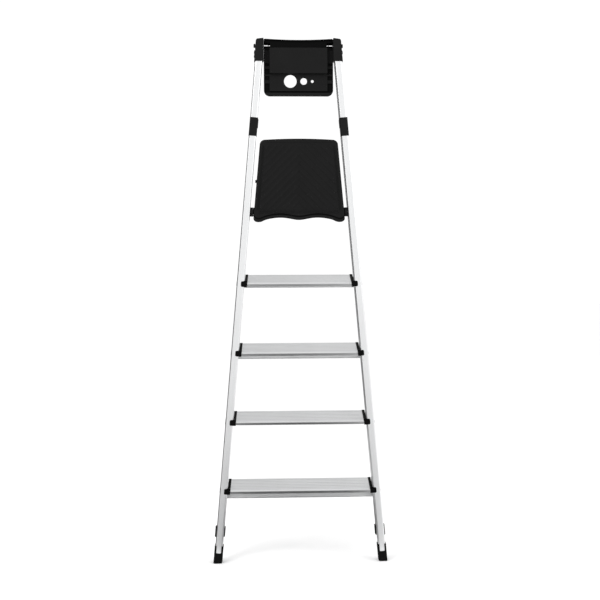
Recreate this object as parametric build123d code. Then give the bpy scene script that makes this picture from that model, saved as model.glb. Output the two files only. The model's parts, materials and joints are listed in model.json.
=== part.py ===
from build123d import *
import os
from math import cos, hypot, radians, sin, tan

# A folding household step ladder with four treads, a standing platform and a tool tray.
# Millimetres. The ladder is modelled folded and upright, seen from the climbing side at -Y.
# x = 0 is the middle, y = 0 the gap between the two frames, z = 0 the soles of the front feet.

# ---- driving dimensions -------------------------------------------------------------
# Stiles: box extrusions of one width, deeper in the front frame than in the rear frame.
STILE_WIDTH = 24.0
FRONT_DEPTH = 36.0
REAR_DEPTH = 20.0
STILE_WALL = 1.4
STILE_CORNER = 4.5
FRAME_GAP = 4.0
HALF_SPREAD = 270.5
TAPER = 5.03
STILE_TOP_Z = 1664.0

# Main hinge: one steel rod across the top carries both frames and the tray.
HINGE_Z = 1676.7
ROD_R = 4.0
RUNNING_CLEARANCE = 0.05
FIT_CLEARANCE = 0.02
OPEN_ANGLE = 28.3
STANDING_LEAN = 19.5

# Treads: level when the ladder stands open, so they slope with the ladder folded.
TREAD_COUNT = 4
TREAD_RISE = 225.0
FIRST_TREAD_Z = 236.0
TREAD_DEPTH = 80.0
TREAD_SKIN = 2.2
TREAD_NOSE = 10.0
TREAD_BACK = 8.0
TREAD_WEB = 10.0
TREAD_GROOVE = 0.7
TREAD_RIB_PITCH = 10.0
CAP_THICKNESS = 9.0
CAP_GAP = 0.6
CAP_PROUD = 1.4
BOSS_HIGH = 9.3
BOSS_LOW = 8.5
TREAD_RIVET_SETBACKS = (10.0, 26.0)
RIVET_R = 4.5
RIVET_HEIGHT = 1.2
RIVET_BEVEL = 0.45

# Plastic shells over the stile ends.
SHELL = 2.5
FOOT_WALLS = (2.25, 2.25)
REAR_FOOT_WALLS = (3.5, 5.5)
FOOT_SOLE = 5.0
FRONT_FOOT_HEIGHT = 57.0
REAR_FOOT_HEIGHT = 33.0
FOOT_NOTCH_WIDTH = 16.0

# Hinge caps.
HINGE_CAP_LOW_Z = 1623.7
HINGE_CAP_HIGH_Z = 1697.0
HINGE_CAP_INNER_X = 111.65
HINGE_CAP_OUTSET = 14.5
KNUCKLE_R = 10.0
KNUCKLE_SPLIT_X = 124.0
ROD_CAP_R = 6.5
ROD_CAP_X = (138.3, 144.0)
HINGE_RIVET_R = 6.0
HINGE_RIVET_HEIGHT = 2.8
FRONT_HINGE_RIVET_DROP = 24.4
REAR_HINGE_RIVET_DROP = 32.0
STOP_FACE_RISE = 15.0
BODY_GAP = 0.4

# Storage sleeves on the front stiles.
SLEEVE_LOW_Z = 1386.0
SLEEVE_HIGH_Z = 1445.0
SLEEVE_WALL = 1.0
SLEEVE_PIN_R = 2.2
SLEEVE_PIN_HEIGHT = 1.0

# Standing platform.
PIVOT_Y = -17.5
PIVOT_Z = 1142.4
PIVOT_HUB_R = 14.8
HUB_SPLIT_X = 148.4
PIVOT_AXLE_R = 6.0
PLATFORM_FACE_Y = -35.5
PLATFORM_THICKNESS = 21.0
PLATFORM_SKIN = 3.5
POCKET_COLUMNS = 4
POCKET_ROWS = 3
POCKET_RIB = 4.0
PLATFORM_TOP_Z = 1373.6
PLATFORM_ARCH = 3.5
PLATFORM_BACK_HALF = 124.4
PLATFORM_FRONT_HALF = 147.3
PLATFORM_SIDE_Z = 1123.0
PLATFORM_CORNER_R = 14.5
NOSE_WAVE = ((131.0, 1109.6), (111.0, 1115.8), (92.0, 1120.8),
             (63.0, 1123.8), (34.0, 1121.4), (0.0, 1116.4))
NOSE_BAND = 9.0
PLATFORM_EDGE_R = 2.0
NOSE_GROOVE = 4.6
NOSE_GROOVE_DEPTH = 2.6
LUG_Z = 1240.4

# Support bail behind the platform.
BAIL_R = 4.0
BAIL_HALF = 104.0
BAIL_CROSS_Y = -8.0
BAIL_FOOT_Y = 12.0
BAIL_FOOT_Z = 1142.4
BAIL_BEND_R = 14.0
BAIL_CLIP_XS = (-60.0, 60.0)
BAIL_CLIP_R = 9.0
BAIL_CLIP_HALF = 8.0

# Rear crossbars: flat oval tubes between the rear stiles.
CROSSBAR_LOW_Z = (203.0, 663.4, 896.0)
CROSSBAR_HEIGHT = 18.0
CROSSBAR_DEPTH = 10.0
CROSSBAR_Y = 13.0
CROSSBAR_WALL = 1.5
SOCKET_R = 9.0

# Tool tray, hanging from the rod.
TRAY_HALF = 111.4
TRAY_LOW_Z = 1514.2
TRAY_HIGH_Z = 1697.0
TRAY_SAG = 3.8
TRAY_WALL = 2.0
TRAY_CORNER_R = 19.0
TRAY_RIM_Y = (-12.0, -6.0)
TRAY_BOX_HALF = 93.0
TRAY_BOX_Z = (1585.0, 1667.0)
TRAY_BOX_FRONT_Y = -33.0
TRAY_SHELF_Z = (1530.0, 1585.0)
TRAY_SHELF_FRONT_Y = -20.0
TRAY_RIM_TOP_Z = 1525.0
TRAY_RIBS = ((1554.5, 1565.0), (1578.0, 1583.5), (1601.0, 1609.5), (1619.0, 1660.0))
TRAY_HOLE_Z = 1561.0
TRAY_HOLES = ((-26.3, 20.3), (16.6, 10.7), (44.3, 4.5))
# Across the tray: hub walls that ride on the rod, and the pocket behind it.
ROD_HUBS = ((89.5, 91.5), (95.6, 97.6))
ROD_POCKET_HALF_HEIGHT = 9.5
ROD_POCKET_BACK_Y = 7.0

# ---- derived values -----------------------------------------------------------------
SLOPE = tan(radians(TAPER))
FRONT_Y = -(FRAME_GAP / 2 + FRONT_DEPTH)
FRONT_MID_Y = -(FRAME_GAP + FRONT_DEPTH) / 2
REAR_MID_Y = (FRAME_GAP + REAR_DEPTH) / 2
TREAD_ZS = [FIRST_TREAD_Z + TREAD_RISE * step for step in range(TREAD_COUNT)]
REAR_LEAN = OPEN_ANGLE - STANDING_LEAN
PLATFORM_TURN = STANDING_LEAN - 90.0
PLATFORM_SIDE_SLOPE = (PLATFORM_FRONT_HALF - PLATFORM_BACK_HALF) / (PLATFORM_TOP_Z - PLATFORM_SIDE_Z)


def along(z):
    """Distance along a stile's sloping axis for a height above the floor."""
    return z / cos(radians(TAPER))


def centre_x(z):
    """Half distance between the stile centre lines at a height."""
    return HALF_SPREAD - SLOPE * z


def inner_x(z):
    """Half distance between the stiles' inner faces at a height."""
    return centre_x(z) - STILE_WIDTH / 2 / cos(radians(TAPER))


def on_stile(shape):
    """Move a shape from stile axes (x across, z along the stile) to the right-hand stile."""
    return Pos(HALF_SPREAD, 0, 0) * Rot(0, -TAPER, 0) * shape


def left(shape):
    """The mirror image on the left-hand side."""
    return mirror(shape, about=Plane.YZ)


def block(x, y, z):
    """Box between pairs of coordinates."""
    size = (x[1] - x[0], y[1] - y[0], z[1] - z[0])
    middle = ((x[0] + x[1]) / 2, (y[0] + y[1]) / 2, (z[0] + z[1]) / 2)
    return Pos(*middle) * Box(*size)


def x_cylinder(radius, x, y, z):
    """Cylinder along X between two x values, centred at y, z."""
    length = x[1] - x[0]
    return Pos((x[0] + x[1]) / 2, y, z) * Rot(0, 90, 0) * Cylinder(radius, length)


def yz_prism(points, x):
    """Prism along X with a straight-sided outline of (y, z) points."""
    face = make_face(Polyline(*points, close=True))
    return extrude(Plane.YZ.offset(x[0]) * face, amount=x[1] - x[0])


def xz_prism(face, y):
    """Extrude a sketch drawn with (x, z) as its two axes from y[0] back to y[1]."""
    return Pos(0, y[1], 0) * Rot(90, 0, 0) * extrude(face, amount=y[1] - y[0])


def between_stiles(inset, low_z, high_z):
    """Wedge that fills the ladder between the stiles' inner faces, less an inset each side."""
    low = inner_x(low_z) - inset
    high = inner_x(high_z) - inset
    face = make_face(Polyline((-low, low_z), (low, low_z), (high, high_z), (-high, high_z), close=True))
    return xz_prism(face, (-80.0, 80.0))


def rivet_head(radius, height):
    """Flat head with a bevelled rim, standing on z = 0."""
    head = Pos(0, 0, height / 2) * Cylinder(radius, height)
    return chamfer(head.edges().group_by(Axis.Z)[-1], height * RIVET_BEVEL)


def outer_rivet(z, y):
    """Rivet head on the outer face of the right-hand stile."""
    head = Rot(0, 90, 0) * rivet_head(RIVET_R, RIVET_HEIGHT)
    return on_stile(Pos(STILE_WIDTH / 2, y, along(z)) * head)


# ---- stiles -------------------------------------------------------------------------
def stile(mid_y, depth, low_z, high_z):
    """Rounded box tube along the right-hand slope, centred at mid_y."""
    outer = RectangleRounded(STILE_WIDTH, depth, STILE_CORNER)
    bore_size = (STILE_WIDTH - 2 * STILE_WALL, depth - 2 * STILE_WALL)
    bore = RectangleRounded(*bore_size, STILE_CORNER - STILE_WALL)
    tube = extrude(outer - bore, amount=along(high_z) - along(low_z))
    return on_stile(Pos(0, mid_y, along(low_z)) * tube)


def stile_space(mid_y, depth, low_z, high_z):
    """The whole space a length of right-hand stile takes up inside the pieces that wrap it."""
    outer = RectangleRounded(STILE_WIDTH, depth, STILE_CORNER)
    solid = extrude(outer, amount=along(high_z) - along(low_z))
    return on_stile(Pos(0, mid_y, along(low_z)) * solid)


def standing_rear_foot_z():
    """Height of the rear soles with the ladder folded, so that all four feet meet the floor open."""
    hinge_height = HINGE_Z * cos(radians(STANDING_LEAN)) - FRAME_GAP / 2 * sin(radians(STANDING_LEAN))
    front_edge = FRAME_GAP / 2 * sin(radians(REAR_LEAN))
    return HINGE_Z - (hinge_height + front_edge) / cos(radians(REAR_LEAN))


def foot(mid_y, stile_depth, sole_z, height, walls):
    """Plastic foot: a cup round the stile end with a level sole; walls are its inner and outer sides."""
    width = STILE_WIDTH + sum(walls)
    middle = (walls[1] - walls[0]) / 2
    depth = stile_depth + 2 * SHELL
    overlap = 5.0
    outline = RectangleRounded(width, depth, STILE_CORNER + 1.5)
    body = Pos(middle, 0, -overlap) * extrude(outline, height + overlap)
    body = chamfer(body.edges().group_by(Axis.Z)[-1], 0.8)
    cavity = extrude(RectangleRounded(STILE_WIDTH, stile_depth, STILE_CORNER), amount=height)
    body -= Pos(0, 0, FOOT_SOLE) * cavity
    if height > REAR_FOOT_HEIGHT:
        notch_height = height - REAR_FOOT_HEIGHT
        notch = Box(FOOT_NOTCH_WIDTH, depth + 10, 2 * notch_height)
        notch = fillet(notch.edges().filter_by(Axis.Y).group_by(Axis.Z)[0], 4.0)
        body -= Pos(0, 0, height) * notch
    body = Pos(centre_x(sole_z), mid_y, sole_z) * Rot(0, -TAPER, 0) * body
    body -= block((0, 400), (-80, 80), (sole_z - 20, sole_z))
    return chamfer(body.edges().group_by(Axis.Z)[0], 1.5)


# ---- treads -------------------------------------------------------------------------
def tread_place(z):
    """Local tread plane: origin on the front top edge, Y back along the tread, Z up from it."""
    return Pos(0, FRONT_Y, z) * Rot(STANDING_LEAN, 0, 0)


def tread(z):
    """Open aluminium section: ribbed top, front nose with a return lip, back flange."""
    half = inner_x(z) + 10
    depth = TREAD_DEPTH
    skin = TREAD_SKIN
    section = block((-half, half), (0, depth), (-skin, 0))
    section += block((-half, half), (0, skin), (-TREAD_NOSE, 0))
    section += block((-half, half), (0, 9.0), (-TREAD_NOSE, 1.8 - TREAD_NOSE))
    section += block((-half, half), (depth - skin, depth), (-TREAD_BACK, 0))
    section += block((-half, half), (depth / 2 - 1, depth / 2 + 1), (-TREAD_WEB, 0))
    front_edges = section.edges().filter_by(Axis.X).group_by(Axis.Y)[0]
    section = fillet(front_edges, 1.6)
    groove_count = int(depth / TREAD_RIB_PITCH) - 1
    for index in range(groove_count):
        middle = TREAD_RIB_PITCH * (index + 1)
        groove = block((-half, half), (middle - 1.2, middle + 1.2), (-TREAD_GROOVE, 1))
        section -= groove
    inset = CAP_THICKNESS + CAP_GAP
    return tread_place(z) * section & between_stiles(inset, z - 60, z + 60)


def tread_cap(z):
    """Plastic end cap between tread and stile, with a boss lapping over the stile's front face."""
    back = TREAD_DEPTH - 0.1
    outline = ((-2.0, CAP_PROUD), (back, CAP_PROUD), (back, -TREAD_BACK - 1.5),
               (TREAD_DEPTH * 0.3, -TREAD_WEB - 0.5), (-2.0, -TREAD_NOSE - 0.5))
    plate = tread_place(z) * yz_prism(outline, (0, 320))
    boss_z = (z - BOSS_LOW, z + BOSS_HIGH)
    plate += block((0, 320), (FRONT_Y - SHELL, FRONT_Y + 6), boss_z)
    ring = between_stiles(CAP_GAP, z - 60, z + 60) - between_stiles(inset_of_cap(), z - 60, z + 60)
    plate &= ring
    boss_y = (FRONT_Y - SHELL, FRONT_Y + STILE_CORNER)
    boss = on_stile(block((-14.0, -1.6), boss_y, tuple(map(along, boss_z))))
    boss = fillet(boss.edges().filter_by(Axis.Y).sort_by(Axis.X)[-2:], 4.0)
    boss -= stile_space(FRONT_MID_Y, FRONT_DEPTH, z - 60, z + 60)
    near = block((0, 320), (-80.0, 80.0), (z - 60, z + 60))
    return (plate & near) + boss


def inset_of_cap():
    """Distance from the stile's inner face to the tread end."""
    return CAP_THICKNESS + CAP_GAP


def tread_rivets():
    """Low rivet heads per tread end on the stiles' outer faces."""
    heads = []
    for z in TREAD_ZS:
        for setback in TREAD_RIVET_SETBACKS:
            y = FRONT_Y + setback
            heads.append(outer_rivet(z + setback * tan(radians(STANDING_LEAN)) - 6.0, y))
    return heads


# ---- sleeves ------------------------------------------------------------------------
def sleeve():
    """Thin sleeve round the stile with a finger pad on its inner side."""
    low = along(SLEEVE_LOW_Z)
    high = along(SLEEVE_HIGH_Z)
    outer_size = (STILE_WIDTH + 2 * SLEEVE_WALL, FRONT_DEPTH + 2 * SLEEVE_WALL)
    outer = RectangleRounded(*outer_size, STILE_CORNER + SLEEVE_WALL)
    bore = RectangleRounded(STILE_WIDTH, FRONT_DEPTH, STILE_CORNER)
    band = Pos(0, FRONT_MID_Y, low) * extrude(outer - bore, amount=high - low)
    pad_x = -STILE_WIDTH / 2 - SLEEVE_WALL
    pad = block((pad_x - 1.7, pad_x + 0.4), (FRONT_MID_Y - 12, FRONT_MID_Y + 10), (low + 27, high - 4))
    pad = fillet(pad.edges().filter_by(Axis.Y).group_by(Axis.X)[0], 1.6)
    return on_stile(band + pad)


def sleeve_pin():
    """Small plastic pin that holds the sleeve, pressed into its front."""
    head = Rot(90, 0, 0) * rivet_head(SLEEVE_PIN_R, SLEEVE_PIN_HEIGHT)
    return on_stile(Pos(0, FRONT_Y - SLEEVE_WALL, along(SLEEVE_LOW_Z + 13)) * head)


# ---- main hinge ---------------------------------------------------------------------
def hinge_envelope(low_z):
    """Right-hand hinge outline: vertical inner face, outer face along the stile's slope."""
    top = HINGE_CAP_HIGH_Z
    outer_low = centre_x(low_z) + HINGE_CAP_OUTSET
    outer_high = centre_x(top - 3) + HINGE_CAP_OUTSET
    inner = HINGE_CAP_INNER_X
    points = ((inner, low_z), (outer_low, low_z), (outer_high, top - 3), (inner, top))
    prism = xz_prism(make_face(Polyline(*points, close=True)), (-80.0, 80.0))
    edges = prism.edges().filter_by(Axis.Y)
    prism = fillet(edges.sort_by(Axis.Z)[-2], 7.0)
    edges = prism.edges().filter_by(Axis.Y)
    return fillet(edges.group_by(Axis.Z)[0].sort_by(Axis.X)[0], 5.0)


def knuckle(x, radius):
    """Cylinder round the hinge axis."""
    return x_cylinder(radius, x, 0, HINGE_Z)


def front_hinge():
    """Cap fixed on the front stile, with the inner knuckle."""
    back_y = -BODY_GAP
    front_y = FRONT_Y - SHELL
    top = HINGE_CAP_HIGH_Z + 1
    low = HINGE_CAP_LOW_Z - 1
    profile = ((front_y, low), (back_y, low), (back_y, top), (front_y, top))
    body = yz_prism(profile, (100, 150)) & hinge_envelope(HINGE_CAP_LOW_Z)
    body = fillet(body.edges().group_by(Axis.Y)[0], 1.2)
    body += knuckle((HINGE_CAP_INNER_X, KNUCKLE_SPLIT_X), KNUCKLE_R)
    body -= knuckle((KNUCKLE_SPLIT_X, 160), KNUCKLE_R + BODY_GAP)
    body -= stile_space(FRONT_MID_Y, FRONT_DEPTH, HINGE_CAP_LOW_Z - 30, STILE_TOP_Z)
    return body - knuckle((100, 160), ROD_R + FIT_CLEARANCE)


def rear_hinge():
    """Cap fixed on the rear stile, with the outer knuckle and a stop face for the open angle."""
    low = HINGE_CAP_LOW_Z + 3
    rise = STOP_FACE_RISE
    stop_y = BODY_GAP + rise * tan(radians(OPEN_ANGLE))
    back = REAR_MID_Y + REAR_DEPTH / 2 + SHELL
    profile = ((BODY_GAP, low), (back, low), (back, HINGE_Z - 8), (back - 14, HINGE_Z + rise),
               (stop_y, HINGE_Z + rise), (BODY_GAP, HINGE_Z))
    body = yz_prism(profile, (100, 150)) & hinge_envelope(low)
    body += knuckle((KNUCKLE_SPLIT_X + BODY_GAP, 136.8), KNUCKLE_R)
    body -= knuckle((100, KNUCKLE_SPLIT_X + BODY_GAP), KNUCKLE_R + BODY_GAP)
    body -= stile_space(REAR_MID_Y, REAR_DEPTH, HINGE_CAP_LOW_Z - 30, STILE_TOP_Z)
    return body - knuckle((100, 160), ROD_R + RUNNING_CLEARANCE)


def rod():
    """Steel rod through both hinges and the tray."""
    reach = ROD_CAP_X[1] - 2.5
    return x_cylinder(ROD_R, (-reach, reach), 0, HINGE_Z)


def rod_cap():
    """Plastic cap pressed on the rod's end."""
    cap = x_cylinder(ROD_CAP_R, ROD_CAP_X, 0, HINGE_Z)
    cap = fillet(cap.edges().group_by(Axis.X)[-1], 2.2)
    return cap - x_cylinder(ROD_R + FIT_CLEARANCE, (0, ROD_CAP_X[1] - 2.4), 0, HINGE_Z)


def hinge_rivet(mid_y, drop):
    """Round rivet cover in a hinge cap's outer face, a drop below the hinge axis."""
    head = Rot(0, 90, 0) * rivet_head(HINGE_RIVET_R, HINGE_RIVET_HEIGHT)
    return on_stile(Pos(HINGE_CAP_OUTSET, mid_y, along(HINGE_Z - drop)) * head)


# ---- platform -----------------------------------------------------------------------
def wave_points(rise):
    """Points along the wavy front edge from left to right, raised by a distance."""
    right = [(x, z + rise) for x, z in NOSE_WAVE]
    return [(-x, z) for x, z in right[:-1]] + right[::-1]


def platform_outline():
    """Platform outline in (x, z): straight sides, rounded corners, wavy front nosing."""
    back_z = PLATFORM_TOP_Z
    corner = PLATFORM_CORNER_R
    top = (PLATFORM_BACK_HALF - corner, back_z)
    shoulder = (PLATFORM_BACK_HALF + PLATFORM_SIDE_SLOPE * corner, back_z - corner)
    flank = (PLATFORM_FRONT_HALF, PLATFORM_SIDE_Z)
    low = NOSE_WAVE[0]
    left_top, left_shoulder, left_flank, left_low = [(-x, z) for x, z in (top, shoulder, flank, low)]
    slope = PLATFORM_SIDE_SLOPE
    lines = [
        ThreePointArc(left_top, (0, back_z + PLATFORM_ARCH), top),
        TangentArc(top, shoulder, tangent=(1, -0.06)),
        Line(shoulder, flank),
        Spline(flank, low, tangents=[(slope, -1), (-1, 0)]),
        Spline(*wave_points(0.0), tangents=[(1, 0), (1, 0)]),
        Spline(left_low, left_flank, tangents=[(-1, 0), (slope, 1)]),
        Line(left_flank, left_shoulder),
        TangentArc(left_top, left_shoulder, tangent=(-1, -0.06)),
    ]
    return make_face(Wire(lines))


def nosing_groove():
    """Shallow groove that follows the wavy front edge, one band width above it."""
    inner = wave_points(NOSE_BAND)
    lower = [(-146.0, 1127.0)] + inner + [(146.0, 1127.0)]
    upper = [(x, z + NOSE_GROOVE) for x, z in lower]
    lines = [Spline(*lower), Line(lower[-1], upper[-1]), Spline(*upper), Line(upper[0], lower[0])]
    return xz_prism(make_face(Wire(lines)), (PLATFORM_FACE_Y - 1, PLATFORM_FACE_Y + NOSE_GROOVE_DEPTH))


def bail_cross_z():
    """Height of the bail's crosspiece that closes the linkage at both ends of the fold."""
    turn = radians(PLATFORM_TURN)
    fold = radians(OPEN_ANGLE)
    foot_y, foot_z = BAIL_FOOT_Y, BAIL_FOOT_Z - HINGE_Z
    open_y = foot_y * cos(fold) - foot_z * sin(fold)
    open_z = foot_y * sin(fold) + foot_z * cos(fold) + HINGE_Z
    offset = BAIL_CROSS_Y - PIVOT_Y

    def mismatch(reach):
        folded = hypot(BAIL_FOOT_Y - BAIL_CROSS_Y, BAIL_FOOT_Z - PIVOT_Z - reach)
        cross_y = PIVOT_Y + offset * cos(turn) - reach * sin(turn)
        cross_z = PIVOT_Z + offset * sin(turn) + reach * cos(turn)
        return hypot(open_y - cross_y, open_z - cross_z) - folded

    low, high = 90.0, 220.0
    for _ in range(60):
        middle = (low + high) / 2
        if mismatch(middle) > 0:
            low = middle
        else:
            high = middle
    return PIVOT_Z + low


def platform():
    """Moulded platform: ribbed shell with hinge bosses at the sides and clips for the bail."""
    back_y = PLATFORM_FACE_Y + PLATFORM_THICKNESS
    shell = xz_prism(platform_outline(), (PLATFORM_FACE_Y, back_y))
    shell = fillet(shell.edges().group_by(Axis.Y)[0], PLATFORM_EDGE_R)
    shell -= nosing_groove()
    pocket_low = PLATFORM_SIDE_Z + 44.0
    pocket_high = PLATFORM_TOP_Z - 6.0
    columns = POCKET_COLUMNS
    rows = POCKET_ROWS
    rib = POCKET_RIB
    row_height = (pocket_high - pocket_low + rib) / rows
    for row in range(rows):
        z0 = pocket_low + row * row_height
        z1 = z0 + row_height - rib
        half = PLATFORM_FRONT_HALF - (z1 - PLATFORM_SIDE_Z) * PLATFORM_SIDE_SLOPE - 6.0
        column_width = (2 * half + rib) / columns
        for column in range(columns):
            x0 = -half + column * column_width
            x1 = x0 + column_width - rib
            pocket = block((x0, x1), (PLATFORM_FACE_Y + PLATFORM_SKIN, back_y + 1), (z0, z1))
            shell -= fillet(pocket.edges().filter_by(Axis.Y), 5.0)
    cross_z = bail_cross_z()
    for x in BAIL_CLIP_XS:
        clip_x = (x - BAIL_CLIP_HALF, x + BAIL_CLIP_HALF)
        clip_y = (PLATFORM_FACE_Y + PLATFORM_SKIN - 1, BAIL_CROSS_Y)
        clip = block(clip_x, clip_y, (cross_z - BAIL_CLIP_R, cross_z + BAIL_CLIP_R))
        clip += x_cylinder(BAIL_CLIP_R, clip_x, BAIL_CROSS_Y, cross_z)
        shell += clip
    shell -= x_cylinder(BAIL_R + RUNNING_CLEARANCE, (-BAIL_HALF, BAIL_HALF), BAIL_CROSS_Y, cross_z)
    boss = x_cylinder(PIVOT_HUB_R - 0.3, (132.0, HUB_SPLIT_X - BODY_GAP / 2), PIVOT_Y, PIVOT_Z)
    shell += boss + left(boss)
    bore = x_cylinder(PIVOT_AXLE_R + RUNNING_CLEARANCE, (126.0, 160.0), PIVOT_Y, PIVOT_Z)
    shell += left(side_lug())
    return shell - bore - left(bore)


def platform_hub():
    """Hub on the front stile's inner face with the stub axle that carries the platform."""
    reach = inner_x(PIVOT_Z) + 6
    hub_start = HUB_SPLIT_X + BODY_GAP / 2
    hub = x_cylinder(PIVOT_HUB_R, (hub_start, reach), PIVOT_Y, PIVOT_Z)
    hub += x_cylinder(PIVOT_AXLE_R, (127.0, hub_start + 1), PIVOT_Y, PIVOT_Z)
    return hub & between_stiles(0, PIVOT_Z - 60, PIVOT_Z + 60)


def side_lug():
    """Small stop lug moulded on one side of the platform, above its pivot."""
    x = PLATFORM_FRONT_HALF - (LUG_Z - PLATFORM_SIDE_Z) * PLATFORM_SIDE_SLOPE
    return x_cylinder(5.0, (x - 3.0, x + 4.2), PLATFORM_FACE_Y + 9, LUG_Z)


# ---- support bail -------------------------------------------------------------------
def bail():
    """U-shaped steel rod: crosspiece in the platform's clips, feet turned out to the rear stiles."""
    cross_z = bail_cross_z()
    reach = inner_x(BAIL_FOOT_Z) - 6.0
    points = [(-reach, BAIL_FOOT_Y, BAIL_FOOT_Z), (-BAIL_HALF, BAIL_FOOT_Y, BAIL_FOOT_Z),
              (-BAIL_HALF, BAIL_CROSS_Y, cross_z), (BAIL_HALF, BAIL_CROSS_Y, cross_z),
              (BAIL_HALF, BAIL_FOOT_Y, BAIL_FOOT_Z), (reach, BAIL_FOOT_Y, BAIL_FOOT_Z)]
    path = FilletPolyline(*points, radius=BAIL_BEND_R)
    start = Plane(origin=points[0], z_dir=(1, 0, 0))
    return sweep(start * Circle(BAIL_R), path=path)


def bail_socket():
    """Round boss on the rear stile's inner face where the bail's foot turns."""
    start = inner_x(BAIL_FOOT_Z) - 6.0 + BODY_GAP
    boss = x_cylinder(SOCKET_R, (start, start + 14), BAIL_FOOT_Y, BAIL_FOOT_Z)
    return boss & between_stiles(0, BAIL_FOOT_Z - 60, BAIL_FOOT_Z + 60)


# ---- rear frame ---------------------------------------------------------------------
def crossbar(low_z):
    """Flat oval tube between the rear stiles."""
    half = inner_x(low_z) + 10
    outer = SlotOverall(CROSSBAR_HEIGHT, CROSSBAR_DEPTH)
    bore = SlotOverall(CROSSBAR_HEIGHT - 2 * CROSSBAR_WALL, CROSSBAR_DEPTH - 2 * CROSSBAR_WALL)
    tube = Pos(-half, 0, 0) * Rot(0, 90, 0) * extrude(outer - bore, amount=2 * half)
    middle_z = low_z + CROSSBAR_HEIGHT / 2
    return Pos(0, CROSSBAR_Y, middle_z) * tube & between_stiles(0, low_z - 60, low_z + 90)


def crossbar_rivets():
    """Low rivet heads at each crossbar end on the rear stiles' outer faces."""
    return [outer_rivet(z + CROSSBAR_HEIGHT / 2, CROSSBAR_Y) for z in CROSSBAR_LOW_Z]


# ---- tray ---------------------------------------------------------------------------
def tray_outline(inset):
    """Tray outline in (x, z): rounded lower corners and a hollow top edge."""
    half = TRAY_HALF - inset
    low = TRAY_LOW_Z + inset
    high = TRAY_HIGH_Z - inset
    corner = TRAY_CORNER_R - inset
    lines = [
        ThreePointArc((-half + 3, high), (0, high - TRAY_SAG), (half - 3, high)),
        Line((half - 3, high), (half, high - 3)),
        Line((half, high - 3), (half, low + corner)),
        RadiusArc((half, low + corner), (half - corner, low), corner),
        Line((half - corner, low), (-half + corner, low)),
        RadiusArc((-half + corner, low), (-half, low + corner), corner),
        Line((-half, low + corner), (-half, high - 3)),
        Line((-half, high - 3), (-half + 3, high)),
    ]
    return make_face(Wire(lines))


def rod_pocket():
    """Closed pocket at the back of the tray's right-hand top corner, open to the front and the side."""
    low = HINGE_Z - ROD_POCKET_HALF_HEIGHT
    high = HINGE_Z + ROD_POCKET_HALF_HEIGHT
    wall = TRAY_WALL * 0.75
    front, back = TRAY_RIM_Y[0], ROD_POCKET_BACK_Y
    near, far = ROD_HUBS[0][0], TRAY_HALF
    pocket = block((near, far), (front, back), (low, high))
    pocket -= block((near - 1, far + 1), (front - 1, back - wall), (low + wall, high - wall))
    for hub in ROD_HUBS:
        pocket += block(hub, (front, back), (low, high))
    return pocket


def tray():
    """Tool tray: deep box by the rod, shelf with tool holes, ribbed side channels."""
    rim_front, rim_back = TRAY_RIM_Y
    wall = TRAY_WALL
    box = TRAY_BOX_HALF
    body = xz_prism(tray_outline(0), TRAY_RIM_Y)
    skirt = xz_prism(tray_outline(0) - tray_outline(wall), (TRAY_SHELF_FRONT_Y, rim_front))
    body += skirt
    low_rim_y = (TRAY_SHELF_FRONT_Y, rim_front)
    low_rim = block((-TRAY_HALF, TRAY_HALF), low_rim_y, (TRAY_LOW_Z, TRAY_RIM_TOP_Z))
    body += low_rim & xz_prism(tray_outline(0), low_rim_y)
    tub = block((-box, box), (TRAY_BOX_FRONT_Y, rim_front), TRAY_BOX_Z)
    body += fillet(tub.edges().filter_by(Axis.Y) + tub.edges().group_by(Axis.Y)[0], 2.0)
    body += block((-box, box), (TRAY_SHELF_FRONT_Y, rim_front), TRAY_SHELF_Z)
    inner = box - wall
    for front, low_z in ((TRAY_BOX_FRONT_Y, TRAY_BOX_Z[0]), (TRAY_SHELF_FRONT_Y, TRAY_SHELF_Z[0])):
        hollow_z = (low_z + wall, TRAY_BOX_Z[1] - wall)
        body -= block((-inner, inner), (front + wall, rim_back + 1), hollow_z)
    for side in (-1, 1):
        for rib_z in TRAY_RIBS:
            near, far = sorted((side * (box - 1), side * (TRAY_HALF - 1)))
            body += block((near, far), (TRAY_SHELF_FRONT_Y + 3, rim_front), rib_z)
        near, far = sorted((side * (ROD_HUBS[0][0]), side * (TRAY_HALF + 2)))
        window_z = (HINGE_Z - ROD_POCKET_HALF_HEIGHT, HINGE_Z + ROD_POCKET_HALF_HEIGHT)
        body -= block((near, far), (TRAY_BOX_FRONT_Y - 5, rim_back + 1), window_z)
    body += rod_pocket() + left(rod_pocket())
    for x, radius in TRAY_HOLES:
        hole = Pos(x, TRAY_SHELF_FRONT_Y, TRAY_HOLE_Z) * Rot(90, 0, 0) * Cylinder(radius, 12)
        body -= hole
    return body - x_cylinder(ROD_R + RUNNING_CLEARANCE, (-TRAY_HALF - 5, TRAY_HALF + 5), 0, HINGE_Z)


# ---- write every piece --------------------------------------------------------------
def save(name, shape):
    """Write one node; a list of solids becomes one compound of separate pieces."""
    if isinstance(shape, list):
        shape = Compound(children=shape)
    export_step(shape, f"parts/{name}.step")


def save_pair(name, shape):
    """Write a right-hand piece and its mirror image."""
    save(f"{name}_right", shape)
    save(f"{name}_left", left(shape))


def both_sides(shapes):
    """A list of right-hand pieces and their mirror images."""
    return shapes + [left(shape) for shape in shapes]


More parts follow.
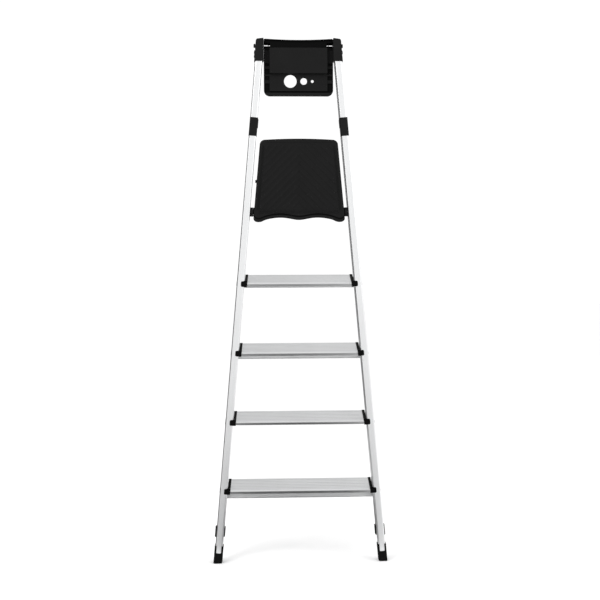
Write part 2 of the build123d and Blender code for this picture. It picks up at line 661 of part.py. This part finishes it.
def main():
    os.makedirs("parts", exist_ok=True)
    rear_sole_z = standing_rear_foot_z()
    save_pair("front_stile", stile(FRONT_MID_Y, FRONT_DEPTH, FOOT_SOLE, STILE_TOP_Z))
    save_pair("rear_stile", stile(REAR_MID_Y, REAR_DEPTH, rear_sole_z + FOOT_SOLE, STILE_TOP_Z))
    save_pair("front_foot", foot(FRONT_MID_Y, FRONT_DEPTH, 0.0, FRONT_FOOT_HEIGHT, FOOT_WALLS))
    rear_foot = foot(REAR_MID_Y, REAR_DEPTH, rear_sole_z, REAR_FOOT_HEIGHT, REAR_FOOT_WALLS)
    save_pair("rear_foot", rear_foot)
    for number, z in enumerate(TREAD_ZS, start=1):
        save(f"tread_{number}", tread(z))
        save_pair(f"tread_cap_{number}", tread_cap(z))
    save("tread_rivets", both_sides(tread_rivets()))
    save_pair("sleeve", sleeve())
    save("sleeve_pins", both_sides([sleeve_pin()]))
    save_pair("front_hinge", front_hinge())
    save_pair("rear_hinge", rear_hinge())
    save("hinge_rod", rod())
    save("rod_caps", both_sides([rod_cap()]))
    save("front_hinge_rivets", both_sides([hinge_rivet(FRONT_MID_Y, FRONT_HINGE_RIVET_DROP)]))
    save("rear_hinge_rivets", both_sides([hinge_rivet(REAR_MID_Y, REAR_HINGE_RIVET_DROP)]))
    save("platform", platform())
    save_pair("platform_hub", platform_hub())
    save("platform_bail", bail())
    save_pair("bail_socket", bail_socket())
    for number, low_z in enumerate(CROSSBAR_LOW_Z, start=1):
        save(f"crossbar_{number}", crossbar(low_z))
    save("crossbar_rivets", both_sides(crossbar_rivets()))
    save("tray", tray())


main()
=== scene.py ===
import json
import math

import bmesh
import bpy
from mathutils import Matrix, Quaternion, Vector


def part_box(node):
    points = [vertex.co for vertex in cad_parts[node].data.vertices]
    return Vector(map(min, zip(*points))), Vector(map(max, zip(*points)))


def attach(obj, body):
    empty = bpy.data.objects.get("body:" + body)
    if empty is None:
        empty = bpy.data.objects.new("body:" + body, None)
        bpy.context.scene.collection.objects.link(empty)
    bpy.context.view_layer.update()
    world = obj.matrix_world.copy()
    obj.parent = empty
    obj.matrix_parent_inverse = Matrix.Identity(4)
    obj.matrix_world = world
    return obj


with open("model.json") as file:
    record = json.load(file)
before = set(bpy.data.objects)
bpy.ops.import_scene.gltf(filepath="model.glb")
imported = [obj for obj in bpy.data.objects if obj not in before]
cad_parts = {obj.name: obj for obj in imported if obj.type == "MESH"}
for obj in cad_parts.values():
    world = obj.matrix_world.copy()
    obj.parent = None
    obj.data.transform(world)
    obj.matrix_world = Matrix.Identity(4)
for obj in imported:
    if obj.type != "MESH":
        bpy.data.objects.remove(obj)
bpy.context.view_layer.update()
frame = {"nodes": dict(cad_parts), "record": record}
NODES = frame["nodes"]
SLOT_OF = {p["node"]: p["material_slot"] for p in frame["record"]["subparts"]}

platform_low, platform_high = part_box("platform")
tray_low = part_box("tray")[0]

TAPER = math.radians(5.03)
PLASTIC_SPECULAR = 0.06
# Factor left on the base colour at the back of a recess: painted shade.
PAINTED_SHADE_FACTOR = 0.12


# ---- node helper ---------------------------------------------------------------------
class Material:
    """A material under construction: a Principled shader and short calls that add nodes."""

    def __init__(self, name, **settings):
        self.mat = bpy.data.materials.new(name)
        self.mat.use_nodes = True
        self.tree = self.mat.node_tree
        self.shader = self.tree.nodes["Principled BSDF"]
        for key, value in settings.items():
            self.shader.inputs[key.replace("_", " ")].default_value = value
        self.coords = self.tree.nodes.new("ShaderNodeTexCoord").outputs["Object"]

    def node(self, kind, inputs=None, **props):
        made = self.tree.nodes.new("ShaderNode" + kind)
        for key, value in props.items():
            setattr(made, key, value)
        for key, value in (inputs or {}).items():
            socket = made.inputs[key]
            if isinstance(value, bpy.types.NodeSocket):
                self.tree.links.new(value, socket)
            else:
                socket.default_value = value
        return made

    def math(self, operation, a, b=0.0, clamp=False):
        return self.node("Math", {0: a, 1: b}, operation=operation, use_clamp=clamp).outputs[0]

    def split(self, vector):
        parts = self.node("SeparateXYZ", {0: vector}).outputs
        return parts[0], parts[1], parts[2]

    def join(self, x, y, z):
        return self.node("CombineXYZ", {0: x, 1: y, 2: z}).outputs[0]

    def scaled(self, vector, x, y, z):
        a, b, c = self.split(vector)
        return self.join(
            self.math("MULTIPLY", a, x),
            self.math("MULTIPLY", b, y),
            self.math("MULTIPLY", c, z),
        )

    def noise(self, vector, scale, detail=2.0, rough=0.5):
        inputs = {"Vector": vector, "Scale": scale, "Detail": detail, "Roughness": rough}
        return self.node("TexNoise", inputs).outputs[0]

    def cells(self, vector, scale):
        return self.node("TexVoronoi", {"Vector": vector, "Scale": scale}).outputs[0]

    def remap(self, value, low, high, to_low, to_high):
        inputs = {"Value": value, "From Min": low, "From Max": high, "To Min": to_low, "To Max": to_high}
        return self.node("MapRange", inputs).outputs[0]

    def ramp(self, value, stops):
        made = self.node("ValToRGB", {"Fac": value})
        elements = made.color_ramp.elements
        while len(elements) < len(stops):
            elements.new(0.5)
        for element, (place, tone) in zip(elements, stops):
            element.position = place
            element.color = tuple(tone) + (1.0,)
        return made.outputs[0]

    def bump(self, height, strength, distance):
        inputs = {"Height": height, "Strength": strength, "Distance": distance}
        return self.node("Bump", inputs).outputs[0]

    def set(self, name, value):
        self.tree.links.new(value, self.shader.inputs[name])


def stile_axes(m):
    """Coordinates across, through and along a stile, the same on both sides of the ladder."""
    x, y, z = m.split(m.coords)
    side = m.math("ABSOLUTE", x)
    cos, sin = math.cos(TAPER), math.sin(TAPER)
    across = m.math("ADD", m.math("MULTIPLY", side, cos), m.math("MULTIPLY", z, sin))
    along = m.math("SUBTRACT", m.math("MULTIPLY", z, cos), m.math("MULTIPLY", side, sin))
    return m.join(across, y, along)


def extruded_aluminium(name, tone, roughness, axes, stretch, painted_light_stops=None):
    """Satin extruded aluminium with fine die lines, a soft mottle and small handling marks.

    Optional (y, gain) stops give a tone that changes through the ladder, painted light: painted shade on
    a lip and back edge and a painted highlight on a nose."""
    m = Material(name, Metallic=1.0)
    place = axes(m)
    lined = m.scaled(place, *stretch)
    lines = m.noise(lined, 1.0, 4.0, 0.65)
    broad = m.noise(m.scaled(place, 9.0, 9.0, 3.0), 1.0, 3.0)
    speck = m.noise(place, 2600.0, 2.0)
    marks = m.noise(m.scaled(place, 60.0, 60.0, 240.0), 1.0, 5.0, 0.7)
    light = [c * 1.03 for c in tone]
    dark = [c * 0.93 for c in tone]
    mixed = m.math("ADD", m.math("MULTIPLY", lines, 0.55), m.math("MULTIPLY", broad, 0.45))
    colour = m.ramp(mixed, [(0.3, dark), (0.52, tone), (0.72, light)])
    # Painted light: gains through the ladder paint shade on the lip and back edge and a highlight on the
    # nose.
    if painted_light_stops:
        y = m.split(m.coords)[1]
        start, end = painted_light_stops[0][0], painted_light_stops[-1][0]
        stops = [((place - start) / (end - start), (gain, gain, gain)) for place, gain in painted_light_stops]
        gains = m.ramp(m.remap(y, start, end, 0.0, 1.0), stops)
        sockets = {0: 1.0, 6: colour, 7: gains}
        colour = m.node("Mix", sockets, data_type="RGBA", blend_type="MULTIPLY").outputs[2]
    m.set("Base Color", colour)
    rough = m.remap(lines, 0.25, 0.75, roughness - 0.05, roughness + 0.06)
    rough = m.math("ADD", rough, m.remap(speck, 0.3, 0.7, -0.02, 0.02))
    rough = m.math("ADD", rough, m.remap(marks, 0.62, 0.75, 0.0, 0.07), clamp=True)
    m.set("Roughness", rough)
    height = m.math("ADD", m.math("MULTIPLY", lines, 0.8), m.math("MULTIPLY", speck, 0.2))
    m.set("Normal", m.bump(height, 0.12, 0.0004))
    return m.mat


def moulded_plastic(name, tone, roughness, grain, depth, painted_recess_shade=None):
    """Black moulded plastic with fine spark-eroded grain and a slow change of gloss.

    An optional (y, reach) pair darkens the base colour behind the plane y, over the given reach: painted
    shade in the recesses."""
    m = Material(name, Specular_IOR_Level=PLASTIC_SPECULAR)
    fine = m.cells(m.coords, grain)
    noise = m.noise(m.coords, grain * 0.6, 3.0)
    slow = m.noise(m.coords, 14.0, 3.0)
    scuff = m.noise(m.coords, 120.0, 6.0, 0.7)
    mixed = m.math("ADD", m.math("MULTIPLY", slow, 0.6), m.math("MULTIPLY", noise, 0.4))
    light = m.remap(mixed, 0.3, 0.75, 0.85 * tone, 1.2 * tone)
    if painted_recess_shade:
        # Painted shade: the base colour falls behind the plane, into the recesses.
        y = m.split(m.coords)[1]
        light = m.math("MULTIPLY", light, m.remap(y, painted_recess_shade[0], painted_recess_shade[0] + painted_recess_shade[1], 1.0, PAINTED_SHADE_FACTOR))
    m.set("Base Color", m.join(light, light, light))
    rough = m.remap(slow, 0.3, 0.7, roughness - 0.05, roughness + 0.05)
    rough = m.math("ADD", rough, m.remap(scuff, 0.55, 0.75, 0.0, -0.08), clamp=True)
    m.set("Roughness", rough)
    height = m.math("ADD", m.math("MULTIPLY", fine, 0.6), m.math("MULTIPLY", noise, 0.4))
    m.set("Normal", m.bump(height, depth, 0.0003))
    return m.mat


def polished_steel(name, tone, roughness):
    """Bright drawn steel with faint rings round the bar and a few brighter specks."""
    m = Material(name, Metallic=1.0)
    rings = m.noise(m.scaled(m.coords, 700.0, 60.0, 60.0), 1.0, 3.0)
    specks = m.noise(m.coords, 900.0, 3.0)
    dark = [c * 0.94 for c in tone]
    m.set("Base Color", m.ramp(rings, [(0.35, dark), (0.65, tone)]))
    rough = m.remap(rings, 0.3, 0.7, roughness - 0.03, roughness + 0.05)
    rough = m.math("ADD", rough, m.remap(specks, 0.6, 0.8, 0.0, 0.1), clamp=True)
    m.set("Roughness", rough)
    m.set("Normal", m.bump(rings, 0.04, 0.0003))
    return m.mat


STILE_TONE = (0.82, 0.825, 0.83)
TREAD_TONE = (0.76, 0.765, 0.77)
# Gains through the tread, painted light: painted shade on the lip, a painted highlight on the nose, then
# the ribbed top and painted shade on its back edge.
TREAD_PAINTED_LIGHT = (
    (-0.04, 0.83), (-0.0352, 0.83), (-0.0342, 1.0), (-0.029, 1.0),
    (-0.0265, 0.87), (0.026, 0.87), (0.036, 0.8),
)
CROSSBAR_TONE = (0.8, 0.805, 0.81)
RIVET_TONE = (0.66, 0.665, 0.67)
ROD_TONE = (0.93, 0.93, 0.93)
ALONG_STILE = (900.0, 900.0, 6.0)
ACROSS_LADDER = (6.0, 900.0, 900.0)
# Plane behind which a moulding darkens with painted recess shade, set back from its front, and the reach
# of the change.
PLATFORM_PAINTED_SHADE = (platform_low.y + 0.0013, 0.0008)
TRAY_PAINTED_SHADE = (tray_low.y + 0.0158, 0.003)


def object_axes(m):
    """Plain object coordinates."""
    return m.coords


MATERIALS = {
    "stile_aluminium": extruded_aluminium("stile_aluminium", STILE_TONE, 0.31, stile_axes, ALONG_STILE),
    "tread_aluminium": extruded_aluminium(
        "tread_aluminium", TREAD_TONE, 0.34, object_axes, ACROSS_LADDER, TREAD_PAINTED_LIGHT
    ),
    "crossbar_aluminium": extruded_aluminium(
        "crossbar_aluminium", CROSSBAR_TONE, 0.5, object_axes, ACROSS_LADDER
    ),
    "rivet_steel": polished_steel("rivet_steel", RIVET_TONE, 0.3),
    "bright_steel": polished_steel("bright_steel", ROD_TONE, 0.12),
    "foot_plastic": moulded_plastic("foot_rubber", 0.0035, 0.78, 1500.0, 0.35),
    "platform_plastic": moulded_plastic("platform_plastic", 0.0078, 0.55, 1900.0, 0.3, PLATFORM_PAINTED_SHADE),
    "tray_plastic": moulded_plastic("tray_plastic", 0.0078, 0.52, 2000.0, 0.25, TRAY_PAINTED_SHADE),
    "black_plastic": moulded_plastic("black_plastic", 0.0085, 0.5, 2200.0, 0.25),
    "cap_plastic": moulded_plastic("cap_plastic", 0.0015, 0.6, 2200.0, 0.25),
}


def dress(node):
    """Give a CAD node its slot's material."""
    slot = SLOT_OF[node]
    if node.startswith("crossbar_") and slot == "stile_aluminium":
        slot = "crossbar_aluminium"
    if node.startswith("tread_cap_"):
        slot = "cap_plastic"
    mesh = NODES[node].data
    mesh.materials.clear()
    mesh.materials.append(MATERIALS[slot])


for name in NODES:
    dress(name)


# ---- platform grip -------------------------------------------------------------------
def bead_section(rise):
    """Bead outline as pairs of place across the width and height over the face."""
    root = -0.0004
    return ((-0.5, root), (-0.5, 0.0), (-0.28, rise), (0.28, rise), (0.5, 0.0), (0.5, root))


def strip(bm, path, y, width, rise):
    """Straight raised bead with sloping flanks between two (x, z) points on the face at y."""
    start, end = Vector(path[0]), Vector(path[1])
    run = (end - start).normalized()
    side = Vector((-run.y, run.x))
    rings = []
    for here in (start, end):
        ring = []
        for offset, lift in bead_section(rise):
            p = here + side * (offset * width)
            ring.append(bm.verts.new((p.x, y - lift, p.y)))
        rings.append(ring)
    first, last = rings
    for k in range(len(first)):
        j = (k + 1) % len(first)
        bm.faces.new((first[k], first[j], last[j], last[k]))
    bm.faces.new(first)
    bm.faces.new(list(reversed(last)))


def add_mesh(name, bm, slot, body):
    """Turn a bmesh into a piece that rides on a body."""
    bmesh.ops.recalc_face_normals(bm, faces=bm.faces)
    mesh = bpy.data.meshes.new(name)
    bm.to_mesh(mesh)
    bm.free()
    made = bpy.data.objects.new(name, mesh)
    bpy.context.scene.collection.objects.link(made)
    mesh.materials.append(MATERIALS[slot])
    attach(made, body)


# Heights are taken up from the tips of the platform's wavy nose and down from its back edge.
PLATFORM_TOP_Z = platform_high.z - 0.0035
PLATFORM_TOP_HALF = platform_high.x - 0.0238
PLATFORM_SIDE_SLOPE = 0.0229 / 0.2506
GRIP_Z = (platform_low.z + 0.0424, platform_high.z - 0.0201)
GRIP_MARGIN = 0.018
CHEVRON_PITCH = 0.0249
CHEVRON_REACH = 0.16
CHEVRON_WIDTH, CHEVRON_RISE = 0.0085, 0.0009
CHEVRON_GAP = 0.0025
BORDER_Z = (platform_low.z + 0.0404, platform_high.z - 0.0221)
BORDER_INSETS = (0.0105, 0.0145)
BORDER_WIDTH, BORDER_RISE = 0.0022, 0.001
NOSE_LINE_ZS = [platform_low.z + rise for rise in (0.0289, 0.0329, 0.0369)]
NOSE_LINE_INSET = 0.016
NOSE_LINE_WIDTH, NOSE_LINE_RISE = 0.0018, 0.0008
BACK_LINE_Z, BACK_LINE_HALF = platform_high.z - 0.0116, 0.106
BACK_LINE_WIDTH, BACK_LINE_RISE = 0.0016, 0.0006


def platform_half(z, margin):
    """Half width of the platform's straight-sided part at a height, less a margin."""
    return PLATFORM_TOP_HALF + (PLATFORM_TOP_Z - z) * PLATFORM_SIDE_SLOPE - margin


def in_grip(x, z):
    return GRIP_Z[0] <= z <= GRIP_Z[1] and abs(x) <= platform_half(z, GRIP_MARGIN)


def clip_span(x0, z0, x1, z1, steps=60):
    """The part of a segment that lies inside the grip area."""
    keep = []
    for index in range(steps + 1):
        t = index / steps
        x, z = x0 + (x1 - x0) * t, z0 + (z1 - z0) * t
        if in_grip(x, z):
            keep.append((x, z))
    return (keep[0], keep[-1]) if len(keep) > 1 else None


def build_grip():
    """Chevron beads on the platform, with border beads at its sides, nose and back."""
    face_y = platform_low.y
    bm = bmesh.new()
    apex = GRIP_Z[0] - CHEVRON_REACH
    while apex < GRIP_Z[1] + 0.005:
        for side in (-1, 1):
            start = apex + CHEVRON_REACH - CHEVRON_GAP
            span = clip_span(side * CHEVRON_GAP, start, side * CHEVRON_REACH, apex)
            if span:
                strip(bm, span, face_y, CHEVRON_WIDTH, CHEVRON_RISE)
        apex += CHEVRON_PITCH
    for side in (-1, 1):
        for inset in BORDER_INSETS:
            path = [(side * platform_half(z, inset), z) for z in BORDER_Z]
            strip(bm, path, face_y, BORDER_WIDTH, BORDER_RISE)
    for z in NOSE_LINE_ZS:
        half = platform_half(z, NOSE_LINE_INSET)
        strip(bm, [(-half, z), (half, z)], face_y, NOSE_LINE_WIDTH, NOSE_LINE_RISE)
    back_line = [(-BACK_LINE_HALF, BACK_LINE_Z), (BACK_LINE_HALF, BACK_LINE_Z)]
    strip(bm, back_line, face_y, BACK_LINE_WIDTH, BACK_LINE_RISE)
    add_mesh("platform_grip", bm, "platform_plastic", "platform")


build_grip()


# ---- stage ---------------------------------------------------------------------------
def plane(name, width, depth, material):
    bm = bmesh.new()
    bmesh.ops.create_grid(bm, x_segments=1, y_segments=1, size=0.5)
    bmesh.ops.scale(bm, vec=(width, depth, 1.0), verts=bm.verts)
    mesh = bpy.data.meshes.new(name)
    bm.to_mesh(mesh)
    bm.free()
    made = bpy.data.objects.new(name, mesh)
    bpy.context.scene.collection.objects.link(made)
    mesh.materials.append(material)
    return made


def aim(thing, place, target):
    thing.location = place
    thing.rotation_euler = (Vector(target) - Vector(place)).to_track_quat("-Z", "Y").to_euler()


def card(name, width, height, place, target, material):
    """Studio flag that only shapes reflections, unseen by the camera."""
    made = plane(name, width, height, material)
    aim(made, place, target)
    made.visible_camera = False
    made.visible_shadow = False
    made.visible_diffuse = False


def softbox(name, power, size, place, target):
    light = bpy.data.lights.new(name, "AREA")
    light.energy = power
    light.shape = "RECTANGLE"
    light.size, light.size_y = size
    made = bpy.data.objects.new(name, light)
    bpy.context.scene.collection.objects.link(made)
    aim(made, place, target)


def grey(level):
    """Neutral colour of one level."""
    return (level, level, level)


def plain_card(name, level):
    """Matt neutral material for a studio flag."""
    return Material(name, Base_Color=grey(level) + (1.0,), Roughness=1.0).mat


def floor_surface():
    """Pale matt studio floor with a faint mottle."""
    m = Material("studio_floor", Roughness=0.9)
    mottle = m.noise(m.coords, 3.0, 3.0)
    m.set("Base Color", m.ramp(mottle, [(0.3, grey(0.95)), (0.7, grey(0.97))]))
    return m.mat


FLAG_DEPTH = 2.4
# Tone of the flag in front of the ladder by distance out from it: under the treads, under the stiles.
TREAD_FLAG = ((0.0, 0.03), (0.2, 0.055), (0.45, 0.1), (0.6, 0.3), (1.0, 0.6))
STILE_FLAG = ((0.0, 0.72), (0.25, 0.66), (0.6, 0.54), (1.0, 0.62))


def floor_flag():
    """Flag that darkens towards the ladder, deepest between the stiles."""
    m = Material("studio_floor_flag", Roughness=1.0)
    x, y, _ = m.split(m.coords)
    out = m.math("SUBTRACT", 0.5, m.math("MULTIPLY", y, 1.0 / FLAG_DEPTH))
    middle = m.ramp(out, [(place, grey(level)) for place, level in TREAD_FLAG])
    sides = m.ramp(out, [(place, grey(level)) for place, level in STILE_FLAG])
    beside = m.remap(m.math("ABSOLUTE", m.math("SUBTRACT", x, 0.01)), 0.245, 0.275, 0.0, 1.0)
    mixed = m.node("Mix", {0: beside, 6: middle, 7: sides}, data_type="RGBA").outputs[2]
    m.set("Base Color", mixed)
    return m.mat


def lying_card(name, width, depth, x, y, material):
    """Flag that lies just over the floor and faces up."""
    card(name, width, depth, (x, y, 0.02), (x, y, 10.0), material)


plane("studio_floor", 30.0, 30.0, floor_surface())
world = bpy.data.worlds.new("studio")
bpy.context.scene.world = world
world.use_nodes = True
world.node_tree.nodes["Background"].inputs["Color"].default_value = (1.0, 1.0, 1.0, 1.0)
world.node_tree.nodes["Background"].inputs["Strength"].default_value = 1.05

softbox("key", 60.0, (1.6, 2.4), (-2.2, -2.6, 3.2), (0.0, 0.0, 0.9))
softbox("fill", 25.0, (2.0, 2.4), (2.6, -2.2, 2.4), (0.0, 0.0, 0.9))
black_card = plain_card("studio_flag", 0.01)
lying_card("flag_low", 3.0, FLAG_DEPTH, 0.0, -1.32, floor_flag())
card("flag_left", 4.6, 3.2, (-2.2, 0.3, 1.2), (0.0, 0.3, 1.2), black_card)
card("flag_back", 2.2, 3.0, (-1.0, 2.6, 1.0), (-1.0, 0.0, 1.0), plain_card("studio_grey", 0.25))
lying_card("flag_far", 3.0, 4.0, 0.0, -4.55, plain_card("studio_pale", 0.74))
lying_card("flag_side", 1.9, 3.0, -1.35, 0.9, black_card)
lying_card("flag_under", 0.4, 1.0, 0.0, 0.45, black_card)

# ---- camera --------------------------------------------------------------------------
# The lens is given as a focal length for a view 600 units wide.
FOCAL = 1244.91
VIEW_WIDTH = 600.0
DISTANCE, HEIGHT = 4.01618, 1.07325
YAW, PITCH, ROLL = -0.047777, 0.053548, math.radians(-0.18)
ASIDE, SLIDE = 0.001388, 0.09
TARGET_Y = -0.038


def place_camera():
    """Camera a little to the left and above the middle, slid sideways with a matching lens shift."""
    data = bpy.data.cameras.new("camera")
    data.sensor_width = 36.0
    data.lens = FOCAL / VIEW_WIDTH * data.sensor_width
    data.clip_start, data.clip_end = 0.05, 60.0
    data.shift_x = -SLIDE * FOCAL / DISTANCE / VIEW_WIDTH
    camera = bpy.data.objects.new("camera", data)
    bpy.context.scene.collection.objects.link(camera)
    across = ASIDE + SLIDE
    camera.location = (
        DISTANCE * math.sin(YAW) + across * math.cos(YAW),
        TARGET_Y - DISTANCE * math.cos(YAW) + across * math.sin(YAW),
        HEIGHT,
    )
    level = math.cos(PITCH)
    forward = Vector((-math.sin(YAW) * level, math.cos(YAW) * level, -math.sin(PITCH)))
    turned = forward.to_track_quat("-Z", "Y") @ Quaternion((0.0, 0.0, 1.0), ROLL)
    camera.rotation_mode = "QUATERNION"
    camera.rotation_quaternion = turned
    bpy.context.scene.camera = camera


place_camera()
bpy.context.scene.view_settings.view_transform = "Standard"
